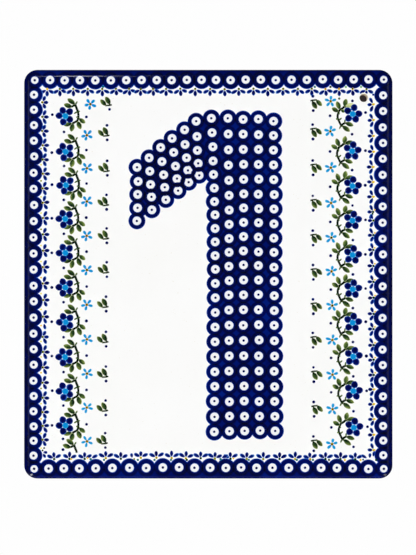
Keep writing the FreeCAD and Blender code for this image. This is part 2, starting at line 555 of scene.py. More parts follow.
RIGHT_TWIG = {
    "stem": ((-3.3, 3.75), (-4.2, 3.8), (-5.2, 2.9), (-6.7, 2.0), (-7.2, 0.9), (-7.7, -0.6),
             (-7.7, -2.1), (-7.2, -3.4), (-6.5, -4.9), (-5.95, -6.0)),
    "shoots": (((-6.0, -5.95), (-5.2, -5.3), (-4.2, -4.8), (-3.6, -4.5)),
               ((-6.0, -6.0), (-5.2, -6.3)), ((-7.1, 1.1), (-7.8, 1.35))),
    "thorns": (((-7.7, -2.1), (-8.6, -2.9)), ((-7.2, -3.3), (-5.6, -2.0)),
               ((-4.1, -4.7), (-3.95, -2.8)), ((-7.4, 0.2), (-6.6, 0.1)),
               ((-6.0, -5.9), (-6.9, -7.8))),
    "leaves": (((-4.2, 4.0), (-3.4, 7.6), 2.15), ((-6.7, 2.5), (-8.15, 6.35), 2.1),
               ((-7.5, 1.2), (-10.6, 3.0), 1.95), ((-3.6, 3.9), (0.4, 4.9), 1.9),
               ((-3.7, -4.6), (0.2, -5.95), 1.95), ((-5.2, -6.2), (-1.6, -8.95), 2.1)),
}
LEFT_TONES = (-0.05, 0.0, 0.25, 0.1, 0.1, 0.1)
RIGHT_TONES = (0.55, 0.25, 0.2, 0.05, 0.0, 0.0)
print(len(LEFT_TWIG["leaves"]), "leaves on each twig")

# %% [markdown]
# Green slip runs out a little round a leaf, so each leaf is pressed twice: a wider, pale one, and
# the leaf itself over it. A twig that runs into the frame is drawn in part.

# %% Leaf and leafy twig
TWIG_WIDTH, TWIG_END, THORN_WIDTH = 1.22, 1.08, 0.85
LEAF_ROUND, THORN_ROUND, THORN_TONE = 0.72, 0.5, 0.5
LEAF_SWELL, LEAF_WANDER, TONE_WANDER = 1.02, 0.03, 0.15
STEM_TONE, PAIR_TONE, PALE_TONE = -1.0, -0.4, 3.0
RUN_OUT, RUN_ROUND, RUN_TONE = 0.19, (0.72, 0.7), 1.8


def leaf(root, tip, width, tone, flip=None):
    """A leaf, its darker half on either side, over the thin green that ran out round it."""
    past = (tip - root).normalized() * RUN_OUT
    blade("leaf_green", root - past, tip + past, width + 2 * RUN_OUT, *RUN_ROUND, RUN_TONE)
    if flip is None:
        flip = hand.random() < 0.5
    width *= LEAF_SWELL + hand.gauss(0, LEAF_WANDER)
    tone += hand.gauss(0, TONE_WANDER)
    blade("leaf_green", root, tip, width, LEAF_ROUND, LEAF_ROUND, tone, flip)


def leafy_twig(place, twig, tones, leaves=range(6), stem_end=10, shoots=4, thorns=5):
    """The twig beside a large flower, or the top part of it."""
    def put(point):
        return place + Vector(point)
    for line in (twig["stem"][:stem_end], *twig["shoots"][:shoots]):
        stroke("leaf_green", [put(point) for point in line], TWIG_WIDTH, TWIG_END, STEM_TONE)
    for root, tip in twig["thorns"][:thorns]:
        blade("leaf_green", put(root), put(tip), THORN_WIDTH, THORN_ROUND, THORN_ROUND, THORN_TONE)
    for number in leaves:
        root, tip, width = twig["leaves"][number]
        leaf(put(root), put(tip), width, tones[number])


print(f"the green runs out {RUN_OUT} mm round each leaf")

# %% [markdown]
# The large flower is five nearly round petals that just touch, about one sky-blue dab. Its petals
# are blades with blunt ends, a little longer than wide. Each has its own turn and reach, because a
# flower drawn with five equal steps looks like a machine's.

# %% The large flower
FLOWER_PETAL_RADIUS, FLOWER_CENTRE = 1.78, 1.57
PETAL_ROUND, PETAL_STRETCH = (0.44, 0.54), 1.1
PETAL_TURN_WANDER = 2
LEFT_FLOWER = ((47, 3.1), (115, 3.12), (180, 3.12), (251, 3.1), (326, 2.72))
RIGHT_FLOWER = ((8, 3.05), (79, 3.25), (148, 2.97), (227.5, 3.05), (297.5, 3.02))


def large_flower(place, petals):
    """Five round petals about a sky-blue middle; each has its turn and its reach."""
    for turn, reach in petals:
        out = turned(Vector((1, 0)), turn + hand.gauss(0, PETAL_TURN_WANDER))
        root = place + out * (reach - FLOWER_PETAL_RADIUS)
        tip = place + out * (reach + FLOWER_PETAL_RADIUS * PETAL_STRETCH)
        blade("brushed_cobalt", root, tip, 2 * FLOWER_PETAL_RADIUS, *PETAL_ROUND,
              shade=hand.uniform(0.15, 0.5))
    dab("sky_blue", place, FLOWER_CENTRE, shade=0.1, count=12)


print(f"a large flower's petals are {2 * FLOWER_PETAL_RADIUS:.1f} mm wide")

# %% [markdown]
# Between the twigs and the bare middle of the plaque stand a column of small forget-me-nots and
# a column of leaf pairs, with dots at even steps round them. They are blades and strokes again, so
# only their drawings are new.

# %% Forget-me-nots and leaf pairs
LITTLE_ROOT, LITTLE_WIDTH = 0.4, 1.55
LEFT_LITTLE = ((-19, 3.2), (46, 3.2), (121, 3.05), (193, 3.05), (259, 2.95))
RIGHT_LITTLE = ((21, 3.0), (80, 3.0), (162, 3.35), (225, 3.25), (300, 2.95))
LITTLE_CENTRE, LITTLE_HEART = 0.76, 0.54
PAIR_LEAVES = (((-0.25, -1.9), (-2.95, 0.95), 1.95), ((1.75, -1.2), (-0.35, 2.4), 2.2))
PAIR_TWIG = ((-0.5, -2.0), (0.7, -1.9), (1.8, -1.8), (2.75, -1.5))
PAIR_STALK = ((1.8, -1.8), (1.7, -0.9))
PAIR_TWIG_WIDTH, STALK_WIDTH, STALK_END, PAIR_LEAF_TONE = 0.85, 0.7, 0.6, -0.15
LITTLE_ROUND, LITTLE_WANDER, HEART_WANDER = (0.75, 0.45), 0.03, 0.06
LITTLE_TURN_WANDER, LITTLE_SHADE_WANDER = 3, 0.12
DOT_RADIUS, DOT_SIZE_WANDER = 0.77, 0.05


def forget_me_not(place, petals, width, shade):
    """Five narrow sky-blue petals and a brown middle."""
    for turn, length in petals:
        out = turned(Vector((1, 0)), turn + hand.gauss(0, LITTLE_TURN_WANDER))
        reach = length * (1 + hand.gauss(0, LITTLE_WANDER))
        blade("sky_blue", place + out * LITTLE_ROOT, place + out * reach, width,
              *LITTLE_ROUND, shade + hand.gauss(0, LITTLE_SHADE_WANDER))
    dab("centre_colour", place, LITTLE_CENTRE, shade=(YELLOW + OLIVE) / 2)
    heart = place + Vector((hand.gauss(0, HEART_WANDER), hand.gauss(0, HEART_WANDER)))
    dab("centre_colour", heart, LITTLE_HEART, shade=BROWN + hand.uniform(0.0, 0.05))


def leaf_pair(place, turn, flips):
    """Two leaves on a short twig."""
    def put(point):
        return place + turned(Vector(point), turn)
    stroke("leaf_green", [put(point) for point in PAIR_TWIG], PAIR_TWIG_WIDTH, PAIR_TWIG_WIDTH,
           PAIR_TONE)
    for (root, tip, width), flip in zip(PAIR_LEAVES, flips):
        leaf(put(root), put(tip), width, PAIR_LEAF_TONE, flip)
    stroke("leaf_green", [put(point) for point in PAIR_STALK], STALK_WIDTH, STALK_END, STEM_TONE)


def dots(places, size=1.0):
    """A dot of cobalt at each place."""
    for place in places:
        radius = DOT_RADIUS * size * (1 + hand.gauss(0, DOT_SIZE_WANDER))
        dab("brushed_cobalt", place, radius, shade=0.1)


print(f"dots {2 * DOT_RADIUS:.1f} mm across")

# %% [markdown]
# Now the bands are filled from top to bottom. A band starts with a motif given on its own near the
# frame, and the rest follow in a swayed row. At the foot of the left band only the top of a twig fits
# in.

# %% The left band
left_flowers = [Vector((-73.5, 81.3)), *row_of(9, (-73.5, -73.5), (62.9, -77.8), (), (0.6, 0.3))]
for place in left_flowers:
    leafy_twig(place, LEFT_TWIG, LEFT_TONES)
leafy_twig(Vector((-74.1, -93.8)), LEFT_TWIG, LEFT_TONES, leaves=(0, 1), stem_end=4, shoots=1,
           thorns=1)
for place in left_flowers:
    large_flower(place, LEFT_FLOWER)
left_little = [Vector((-60.7, 87.4)), *row_of(10, (-62.5, -62.45), (71.6, -85.9), (), (0.4, 0.4))]
for number, place in enumerate(left_little):
    faded = number / len(left_little)
    forget_me_not(place, LEFT_LITTLE, LITTLE_WIDTH * (1 - 0.15 * faded), 0.2 + 0.7 * faded)
left_pairs = [Vector((-52.4, 88.7)),
              *row_of(10, (-53.6, -54.4), (73.0, -85.2), (), (-0.5, 0.2, -0.5))]
for place in left_pairs:
    leaf_pair(place, 0, (False, False))
dots([place + Vector((1.6, -3.95)) for place in left_pairs], 1.03)
dots([place + Vector((1.5, 3.5)) for place in left_pairs[1:]], 0.99)
dots(row_of(10, (-62.6, -62.6), (80.9, -77.1), sway_z=(0.7, 0.3)))
dots([Vector((-80.2, 82.0)), *row_of(9, (-80.4, -80.4), (62.6, -77.8), (), (1.0, 0.3, 0.3))])
dots(row_of(10, (-74.15, -74.55), (73.2, -84.7), sway_z=(-0.1, 0.3, -0.3)), 0.96)
dots([Vector((-74.7, -90.2))])
print(len(left_flowers), "twigs in the left band")

# %% [markdown]
# The right band is filled in the same way. Its first twig has one leaf that hardly printed and
# one extra leaf, both of which the photograph shows, and a dab of green fills the corner above it.

# %% The right band
right_flowers = [Vector((74.25, 82.4)),
                 *row_of(9, (73.95, 74.7), (63.4, -78.7), (), (0.2, -0.6, 0.2))]
for number, place in enumerate(right_flowers):
    tones = list(RIGHT_TONES)
    if number == 0:
        tones[3] = PALE_TONE
    leafy_twig(place, RIGHT_TWIG, tones)
leaf(right_flowers[0] + Vector((-5.9, 1.9)), right_flowers[0] + Vector((-4.0, 1.1)), 1.4, 0.3)
dab("leaf_green", Vector((67.3, 90.3)), 0.6, shade=0.0)
for place in right_flowers:
    large_flower(place, RIGHT_FLOWER)
right_little = [Vector((62.9, 88.9)),
                *row_of(10, (62.9, 63.7), (73.4, -87.3), (0.25, -0.2), (-0.6, -0.5, -0.2))]
for place in right_little:
    forget_me_not(place, RIGHT_LITTLE, LITTLE_WIDTH * 0.95, 0.8)
right_pairs = [Vector((55.3, 87.6)), *row_of(10, (55.1, 55.6), (72.9, -87.3), (), (-0.8, -0.4))]
for place in right_pairs:
    leaf_pair(place, 180, (False, True))
dots([place + Vector((-1.35, -3.5)) for place in right_pairs], 1.02)
dots([place + Vector((-1.55, 3.9)) for place in right_pairs], 0.97)
dots(row_of(10, (62.6, 63.3), (81.5, -78.8), sway_z=(-0.6, -0.6)), 0.98)
dots([Vector((80.85, 83.1)), *row_of(9, (80.75, 81.75), (63.5, -78.5), (-0.35,), (0.4, -0.6, 0.2))])
dots([Vector((74.1, 89.1)), *row_of(10, (74.0, 74.65), (71.9, -88.8), (), (-0.3, -0.7))], 0.96)
dab("brushed_cobalt", Vector((84.8, 92.3)), 0.6, shade=0.9)
print(len(prints), "prints,", len(print_points), "points")

# %% [markdown]
# The clay body is one closed skin. Points, normals and painted faces are collected in plain lists
# first, because Blender makes a mesh fastest from whole lists. Every face corner also keeps three
# things: a place in the bake map, and two small vectors that say where it is within its print and
# within the next ring over it. Where there is no such print, the vector is one far outside any.

# %% Lists for the skin of the plaque
COLOURS = ("white_glaze", "stamped_cobalt", "brushed_cobalt", "sky_blue", "leaf_green",
           "centre_colour", "bare_stoneware")
FAR_AWAY = (2.0, 0.0, 0.5)
skin_points, skin_normals = [], []
skin_faces, face_colours, corner_own, corner_other, corner_map = [], [], [], [], []


def add_point(x, y, z, normal):
    """One point of the skin."""
    skin_points.append((x * MM, y * MM, z * MM))
    skin_normals.append(normal)
    return len(skin_points) - 1


def add_face(corners, colour, own, other, places):
    """One painted face of the skin."""
    skin_faces.append(corners)
    face_colours.append(COLOURS.index(colour))
    corner_own.extend(own)
    corner_other.extend(other)
    corner_map.extend(places)


print(len(COLOURS), "finishes on the plaque")

# %% [markdown]
# The front is cut along the edge of every print, so each colour ends on a true line and the rings
# can overlap as they do in the clay. One call cuts the whole sheet into triangles that respect all
# those lines and says which prints lie over each triangle. Extra lines run round the rolled edge,
# close together where it turns fastest.

# %% Cut the front along its prints
HOLE_STEPS = 48
CUT_TOLERANCE = 1e-6
ROLL_LINES = (0.05, 0.2, 0.45, 0.8, 1.2, 1.7, 2.2, 2.7, 3.2, 3.6, 4.0, 4.4, 4.8, 5.2)
hole_rim = circle(hole_middle, MOUTH_RADIUS, HOLE_STEPS)


def cut_sheet(outline, shapes_points, shapes, loops):
    """Triangles of a sheet with a hanging hole, and the shapes that lie over each."""
    points = [*outline, *hole_rim, *shapes_points]
    faces = [list(range(len(outline))),
             list(range(len(outline), len(outline) + HOLE_STEPS))]
    skip = len(outline) + HOLE_STEPS
    faces += [[skip + corner for corner in shape] for shape in shapes]
    edges = []
    for loop in loops:
        start = len(points)
        points += loop
        edges += [(start + step, start + (step + 1) % len(loop)) for step in range(len(loop))]
    made = delaunay_2d_cdt(points, edges, faces, 1, CUT_TOLERANCE)
    places, triangles, first_points, covers = made[0], made[2], made[3], made[5]
    now = {old: new for new, olds in enumerate(first_points) for old in olds}
    kept = [(triangle, sorted(cover)) for triangle, cover in zip(triangles, covers)
            if 1 not in cover]
    rim = [now[step] for step in range(len(outline))]
    hole = [now[len(outline) + step] for step in range(HOLE_STEPS)]
    return places, kept, rim, hole


outline = [point for point, _ in round_loop(0, CORNER_RADIUS)]
roll_loops = [[point for point, _ in round_loop(line, CORNER_RADIUS - line)]
              for line in ROLL_LINES]
front_places, front_triangles, front_rim, front_hole = cut_sheet(
    outline, print_points, print_shapes, roll_loops)
print(len(front_places), "points and", len(front_triangles), "triangles in the front")

# %% [markdown]
# Now each triangle gets its colour. The last brushed print on top wins, as in the clay, except that
# a blue petal which crosses a ring melts into the ring's own cobalt. Where only rings lie over a
# triangle, the nearest two are remembered, so that the colour can add their cobalt together.

# %% Which colour lies on top
FIRST_PRINT = 2
# The sides get more rim cobalt than the wash alone: painted shade that darkens the side rims.
SIDE_WASH_AND_SHADE, TOP_WASH, LOW_WASH = 1.78, 1.18, 1.18
WASH_CHANGE = 8.0
disc_of = dict(eyes)
ring_of = {disc: ring for ring, disc in eyes}
washes = {number for number, made in enumerate(prints) if made["colour"] == "wash"}


def grid_place(number, point):
    """Where a point lies in the grid of one print."""
    made = prints[number]
    away = point - made["middle"]
    return (away.dot(made["along"]), away.dot(made["across"]), made["third"])


def rim_wash_and_shade(z):
    """Cobalt on the rim: the wash alone along the top and bottom, more at the sides as painted shade.
    """
    into_edge = min(max((abs(z) - HEIGHT / 2) / WASH_CHANGE + 1.5, 0.0), 1.0)
    return SIDE_WASH_AND_SHADE + ((TOP_WASH if z > 0 else LOW_WASH) - SIDE_WASH_AND_SHADE) * into_edge


def top_colour(cover, middle):
    """Colour of a triangle, its own print, the ring under or over that, and thin cobalt or not."""
    over = [number - FIRST_PRINT for number in cover if number >= FIRST_PRINT]
    painted = [number for number in over if prints[number]["colour"] in COLOURS]
    washed = None if field not in over else float(bool(washes.intersection(over)))
    discs = {ring_of[number] for number in over if number in ring_of}
    rings = [number for number in over if number in disc_of and number not in discs]
    if painted and not (rings and prints[painted[-1]]["colour"] == "brushed_cobalt"):
        return prints[painted[-1]]["colour"], painted[-1], None, washed
    rings.sort(key=lambda number: (prints[number]["middle"] - middle).length)
    if rings:
        return "stamped_cobalt", rings[0], rings[1] if len(rings) > 1 else None, washed
    if discs or washed == 0.0:
        return "white_glaze", max(discs, default=None), None, 0.0
    return "stamped_cobalt", None, None, washed


print(len(disc_of), "rings and", len(washes), "washed areas can lie over a triangle")

# %% [markdown]
# The bake map lays the front flat at one scale, with the back squeezed above it, and the long
# strip of the sides and the inside of the hole beside them, so nothing lies on anything else. The
# flat triangles are then lifted to their true depth, with the true slope for the glaze's shine.

# %% Lift the front into place
MAP_SCALE = 245.0


def front_map(point):
    """Place of a point of the front in the bake map."""
    return ((point.x + WIDTH / 2) / MAP_SCALE, (point.y + HEIGHT / 2) / MAP_SCALE)


front_points = []
for place in front_places:
    y, normal = front_surface(place.x, place.y)
    front_points.append(add_point(place.x, y, place.y, normal))
for triangle, cover in front_triangles:
    corners = [front_places[corner] for corner in triangle]
    middle = (corners[0] + corners[1] + corners[2]) / 3
    colour, own_print, other_print, washed = top_colour(cover, middle)
    own = [FAR_AWAY if own_print is None else grid_place(own_print, corner)
           for corner in corners]
    other = [FAR_AWAY if other_print is None else grid_place(other_print, corner)
             for corner in corners]
    if colour == "stamped_cobalt":
        other = [(place[0], place[1], rim_wash_and_shade(corner.y) if washed is None else washed)
                 for place, corner in zip(other, corners)]
    add_face([front_points[corner] for corner in triangle], colour, own, other,
             [front_map(corner) for corner in corners])
print(len(skin_faces), "faces of the front lifted")

# %% [markdown]
# Behind the front, the skin follows a profile: down the side, round the back edge, across the foot,
# over its inner lip and down to the sunk back. Each step of the profile is how far in, how deep,
# and which way the skin faces there, in degrees from straight out to straight back.

# %% The side and foot profile
GLAZE_LINE, SIDE_MIDDLE = 2.1, 4.0
ARC_STEPS = 6


def quarter_turns(first=0, last=ARC_STEPS):
    """Steps of a quarter turn, from the first to the last."""
    return [math.radians(90 * step / ARC_STEPS) for step in range(first, last + 1)]


side_profile = [(0.0, -y, 0.0) for y in (THICKNESS - FRONT_ROLL, SIDE_MIDDLE, GLAZE_LINE, BACK_EDGE)]
side_profile += [(BACK_EDGE * (1 - math.cos(turn)), BACK_EDGE * (math.sin(turn) - 1),
                  math.degrees(turn)) for turn in quarter_turns(1)]
side_profile += [(FOOT_WIDTH - FOOT_LIP * (1 - math.sin(turn)), FOOT_LIP * (math.cos(turn) - 1),
                  90 + math.degrees(turn)) for turn in quarter_turns()]
side_profile += [(FOOT_WIDTH + PANEL_ROOT * (1 - math.cos(turn)),
                  -FOOT_HEIGHT + PANEL_ROOT * (1 - math.sin(turn)),
                  180 - math.degrees(turn)) for turn in quarter_turns()]
print(len(side_profile), "steps from the front edge to the sunk back")

# %% [markdown]
# Each step of the profile becomes a loop of points, and a band of faces joins it to the one before.
# The dipped glaze ends in a slightly wavy line on the side, because the foot was wiped clean before
# firing, and bare clay shows from there. The sunk back was dipped too, so it is glazed again.

# %% Wrap the side and the foot
GLAZE_WAVE, SECOND_WAVE = 0.22, 0.6
WAVES, SECOND_WAVES = 5, 13
NEARLY = 1e-6
STRIP_START, STRIP_WIDTH = 0.79, 0.17
strip_length = sum(math.dist(here[:2], there[:2])
                   for here, there in zip(side_profile, side_profile[1:]))


def corner_at(inset):
    """Corner radius of a loop at this inset, outside the foot or inside it."""
    if inset <= FOOT_WIDTH / 2:
        return CORNER_RADIUS - inset
    return PANEL_CORNER + FOOT_WIDTH - inset


def profile_loop(inset, y, lean):
    """One loop of skin points at a step of the profile."""
    made = []
    for number, (point, out) in enumerate(round_loop(inset, corner_at(inset))):
        wave = 0.0
        if y == -GLAZE_LINE:
            around = math.tau * number / len(outline)
            wave = GLAZE_WAVE * (math.sin(WAVES * around)
                                 + SECOND_WAVE * math.sin(SECOND_WAVES * around + 1))
        outward, backward = math.cos(math.radians(lean)), math.sin(math.radians(lean))
        normal = Vector((out.x * outward, backward, out.y * outward))
        made.append(add_point(point.x, y + wave, point.y, normal))
    return made


def wrap(before, after, colour, strip_from, strip_to):
    """Faces between two loops, with their strip in the bake map; cobalt has its wash and painted
    shade.
    """
    count = len(before)
    for step in range(count):
        following = (step + 1) % count
        low_part, high_part = step / count, (step + 1) / count
        corners = (before[step], after[step], after[following], before[following])
        other = [FAR_AWAY] * 4
        if colour == "stamped_cobalt":
            other = [(*FAR_AWAY[:2], rim_wash_and_shade(skin_points[corner][2] / MM)) for corner in corners]
        add_face(corners, colour, [FAR_AWAY] * 4, other,
                 [(strip_from, low_part), (strip_to, low_part),
                  (strip_to, high_part), (strip_from, high_part)])


loop = [front_points[corner] for corner in front_rim]
strip_at = STRIP_START
for here, there in zip(side_profile, side_profile[1:]):
    following = profile_loop(*there)
    strip_next = strip_at + STRIP_WIDTH * math.dist(here[:2], there[:2]) / strip_length
    if there[0] == 0.0 and there[1] <= -GLAZE_LINE:
        colour = "stamped_cobalt"
    elif here[0] >= FOOT_WIDTH - NEARLY:
        colour = "white_glaze"
    else:
        colour = "bare_stoneware"
    wrap(loop, following, colour, strip_at, strip_next)
    loop, strip_at = following, strip_next
back_rim_points = loop
print(len(skin_faces), "faces with the side and foot")

# %% [markdown]
# The sunk back is a plain sheet with the same hole. It starts from the last loop of the profile, so
# the two share their points, and it is cut by the same function as the front, with no print on it.

# %% The sunk back
BACK_MAP_BOTTOM, BACK_MAP_HEIGHT = 0.875, 0.12
back_inset = side_profile[-1][0]
back_outline = [point for point, _ in round_loop(back_inset, corner_at(back_inset))]
back_places, back_triangles, back_rim, back_hole = cut_sheet(back_outline, [], [], [])
back_points = {}
for corner, point in zip(back_rim, back_rim_points):
    back_points[corner] = point
for corner, place in enumerate(back_places):
    if corner not in back_points:
        back_points[corner] = add_point(place.x, -FOOT_HEIGHT, place.y, Vector((0, 1, 0)))


def back_map(point):
    """Place of a point of the back in the bake map."""
    return ((point.x + WIDTH / 2) / MAP_SCALE,
            BACK_MAP_BOTTOM + BACK_MAP_HEIGHT * (point.y / HEIGHT + 0.5))


for triangle, _ in back_triangles:
    corners = list(reversed(triangle))
    add_face([back_points[corner] for corner in corners], "white_glaze",
             [FAR_AWAY] * 3, [FAR_AWAY] * 3, [back_map(back_places[corner]) for corner in corners])
print(len(back_triangles), "triangles in the sunk back")

# %% [markdown]
# The hole was pierced while the clay was soft, and its two mouths were smoothed with a wet finger.
# It could be cut with a boolean, but that leaves a ragged mesh. A profile of rings keeps it clean:
# the front mouth, the wall and the back mouth. Glaze ran in over the front mouth only.

# %% The hanging hole
BORE_MAP_START, BORE_MAP_WIDTH = 0.968, 0.03
GLAZED_RINGS = ARC_STEPS - 2
bore_profile = [(HOLE_RADIUS + HOLE_MOUTH * (1 - math.sin(turn)),
                 -THICKNESS + HOLE_MOUTH * (1 - math.cos(turn)),
                 -90 + math.degrees(turn)) for turn in quarter_turns(1)]
bore_profile += [(HOLE_RADIUS + HOLE_MOUTH * (1 - math.cos(turn)),
                  -FOOT_HEIGHT - HOLE_MOUTH * (1 - math.sin(turn)),
                  math.degrees(turn)) for turn in quarter_turns(0, ARC_STEPS - 1)]
loop = [front_points[corner] for corner in front_hole]
map_step = BORE_MAP_WIDTH / (len(bore_profile) + 1)
for number, (radius, y, lean) in enumerate(bore_profile):
    following = []
    for point in circle(hole_middle, radius, HOLE_STEPS):
        inward = (hole_middle - point).normalized() * math.cos(math.radians(lean))
        normal = Vector((inward.x, math.sin(math.radians(lean)), inward.y))
        following.append(add_point(point.x, y, point.y, normal))
    wrap(following, loop, "white_glaze" if number < GLAZED_RINGS else "bare_stoneware",
         BORE_MAP_START + map_step * (number + 1), BORE_MAP_START + map_step * number)
    loop = following
wrap([back_points[corner] for corner in back_hole], loop, "bare_stoneware",
     BORE_MAP_START + BORE_MAP_WIDTH, BORE_MAP_START + map_step * len(bore_profile))
print(len(skin_points), "points and", len(skin_faces), "faces in all")

# %% [markdown]
# The lists now become one Blender mesh. Its normals are set from the true shape, not averaged from
# the many slivers, so the glaze reflects as smoothly as the clay is round. An edge with one face
# would be a gap in the skin, so they are counted: there must be none.

# %% Make the mesh
clay = bpy.data.meshes.new("plaque_stoneware")
clay.from_pydata(skin_points, [], skin_faces)
clay.polygons.foreach_set("material_index", face_colours)
clay.polygons.foreach_set("use_smooth", [True] * len(skin_faces))
for name, grid in (("own_grid", corner_own), ("other_grid", corner_other)):
    attribute = clay.attributes.new(name, "FLOAT_VECTOR", "CORNER")
    attribute.data.foreach_set("vector", [part for corner in grid for part in corner])
bake_map = clay.uv_layers.new(name="OFBake")
bake_map.data.foreach_set("uv", [part for corner in corner_map for part in corner])
clay.normals_split_custom_set_from_vertices(skin_normals)
clay.validate()
plaque = bpy.data.objects.new("plaque_stoneware", clay)
bpy.context.scene.collection.objects.link(plaque)
edge_uses = {}
for face in clay.polygons:
    for edge in face.edge_keys:
        edge_uses[edge] = edge_uses.get(edge, 0) + 1
print("edges without two faces:", sum(1 for uses in edge_uses.values() if uses != 2))

# %% [markdown]
# All the colours lie under one clear glaze, so every material starts from the same glossy coat:
# nearly smooth, with a slow unevenness from the brush and the dip, and a faint orange-peel skin.
# Only the colour below it changes. First come a few helpers that join shader nodes; most of them
# give back the socket that the next one needs.

# %% Helpers for finishes


def linear(red, green, blue):
    """A colour as read off a screen, 0 to 255, for Blender's sockets."""
    parts = [part / 255 for part in (red, green, blue)]
    return (*(part / 12.92 if part <= 0.04045 else ((part + 0.055) / 1.055) ** 2.4
              for part in parts), 1.0)


def node(tree, kind, **settings):
    """A shader node with its settings made."""
    made = tree.nodes.new(kind)
    for name, value in settings.items():
        setattr(made, name, value)
    return made


def clay_noise(tree, scale, detail=2.0):
    """Noise over the real shape, so it runs on round the edges."""
    place = node(tree, "ShaderNodeTexCoord")
    noise = node(tree, "ShaderNodeTexNoise")
    noise.inputs["Scale"].default_value = scale
    noise.inputs["Detail"].default_value = detail
    tree.links.new(place.outputs["Object"], noise.inputs["Vector"])
    return noise.outputs["Fac"]


def ramp(tree, stops, run):
    """The colour that a scale of (place, colour) pairs has for a value."""
    made = node(tree, "ShaderNodeValToRGB")
    band = made.color_ramp
    while len(band.elements) < len(stops):
        band.elements.new(0.5)
    for element, (place, colour) in zip(band.elements, stops):
        element.position = place
        element.color = colour
    tree.links.new(run, made.inputs["Fac"])
    return made.outputs["Color"]


def ranged(tree, value, from_low, from_high, to_low, to_high):
    """A value mapped from one range to another."""
    made = node(tree, "ShaderNodeMapRange")
    tree.links.new(value, made.inputs["Value"])
    for name, number in (("From Min", from_low), ("From Max", from_high),
                         ("To Min", to_low), ("To Max", to_high)):
        made.inputs[name].default_value = number
    return made.outputs["Result"]


def maths(tree, operation, first, second):
    """A sum, product and so on of two sockets, or of a socket and a number."""
    made = node(tree, "ShaderNodeMath", operation=operation)
    for socket, value in zip(made.inputs, (first, second)):
        if isinstance(value, (int, float)):
            socket.default_value = value
        else:
            tree.links.new(value, socket)
    return made.outputs["Value"]


def uneven(tree, noise, least, most):
    """A noise brought to a range; what matters of a noise lies from 0.3 to 0.7."""
    return ranged(tree, noise, 0.3, 0.7, least, most)


def print_grid(tree, attribute="own_grid"):
    """How far a place is from the middle of its print, and the parts of its grid."""
    grid = node(tree, "ShaderNodeAttribute", attribute_name=attribute)
    parts = node(tree, "ShaderNodeSeparateXYZ")
    tree.links.new(grid.outputs["Vector"], parts.inputs["Vector"])
    flat = node(tree, "ShaderNodeCombineXYZ")
    tree.links.new(parts.outputs["X"], flat.inputs["X"])
    tree.links.new(parts.outputs["Y"], flat.inputs["Y"])
    length = node(tree, "ShaderNodeVectorMath", operation="LENGTH")
    tree.links.new(flat.outputs["Vector"], length.inputs["Vector"])
    return length.outputs["Value"], parts.outputs


def multiplied(tree, first, second):
    """One colour darkened by another."""
    made = node(tree, "ShaderNodeMix", data_type="RGBA", blend_type="MULTIPLY")
    made.inputs["Factor"].default_value = 1.0
    tree.links.new(first, made.inputs["A"])
    tree.links.new(second, made.inputs["B"])
    return made.outputs["Result"]


print("a screen's mid grey is", round(linear(128, 128, 128)[0], 3), "to a socket")

# %% The clear glaze over everything
GLAZE_ROUGHNESS, GLAZE_INDEX = (0.09, 0.14), 1.5
GLAZE_PATCHES, GLAZE_SKIN = 90.0, 150.0
GLAZE_BUMP, GLAZE_BUMP_STRENGTH = 0.00002, 0.5


def new_finish(name):
    """A new material with its tree and its shader."""
    material = bpy.data.materials.new(name)
    material.use_nodes = True
    return material, material.node_tree, material.node_tree.nodes["Principled BSDF"]


def bumped(tree, shader, height, depth, strength):
    """Gives a shader small bumps that follow a noise."""
    bump = node(tree, "ShaderNodeBump")
    bump.inputs["Strength"].default_value = strength
    bump.inputs["Distance"].default_value = depth
    tree.links.new(height, bump.inputs["Height"])
    tree.links.new(bump.outputs["Normal"], shader.inputs["Normal"])


def glazed(name):
    """A material with the common clear glaze; its colour is still to be joined."""
    material, tree, shader = new_finish(name)
    shader.inputs["IOR"].default_value = GLAZE_INDEX
    patchy = uneven(tree, clay_noise(tree, GLAZE_PATCHES), *GLAZE_ROUGHNESS)
    tree.links.new(patchy, shader.inputs["Roughness"])
    bumped(tree, shader, clay_noise(tree, GLAZE_SKIN, 0.0), GLAZE_BUMP, GLAZE_BUMP_STRENGTH)
    return material, tree, shader


print("glaze roughness from", GLAZE_ROUGHNESS[0], "to", GLAZE_ROUGHNESS[1])

# %% [markdown]
# The white is the fired clay seen through the glaze: hardly any colour, a breath warmer here and
# cooler there, with a few tiny iron specks, which stoneware always has. Inside the eyes it is a
# little greyer, for some of the cobalt round it went into the glaze there.

# %% White glaze
CLOUD_SCALE, SPECK_SCALE = 22.0, 1500.0
UNCHANGED = (1, 1, 1, 1)
white, tree, shader = glazed("white_glaze")
clouded = ramp(tree, ((0.3, linear(247, 247, 246)), (0.7, linear(249, 249, 249))),
               clay_noise(tree, CLOUD_SCALE))
specks = ramp(tree, ((0.0, UNCHANGED), (0.82, UNCHANGED), (0.86, linear(236, 232, 220))),
              clay_noise(tree, SPECK_SCALE, 0.0))
from_middle, _ = print_grid(tree)
in_eyes = ramp(tree, ((0.0, linear(246, 246, 247)), (0.34, linear(246, 246, 247)),
                      (0.48, linear(238, 241, 246)), (0.9, UNCHANGED)), from_middle)
speckled = multiplied(tree, clouded, specks)
tree.links.new(multiplied(tree, speckled, in_eyes), shader.inputs["Base Color"])
print(white.name, "has", len(tree.nodes), "nodes")

# %% [markdown]
# The stamped cobalt adds up ink. Across each ring it is thin at both edges, where the sponge let
# go, and full between. A second ring and the thin wash add theirs, and the sum runs through one
# scale of blues, from pale where it is thin to near black where it is double. The wash hardly
# took next to the bare discs, so there it fades out across the ring.

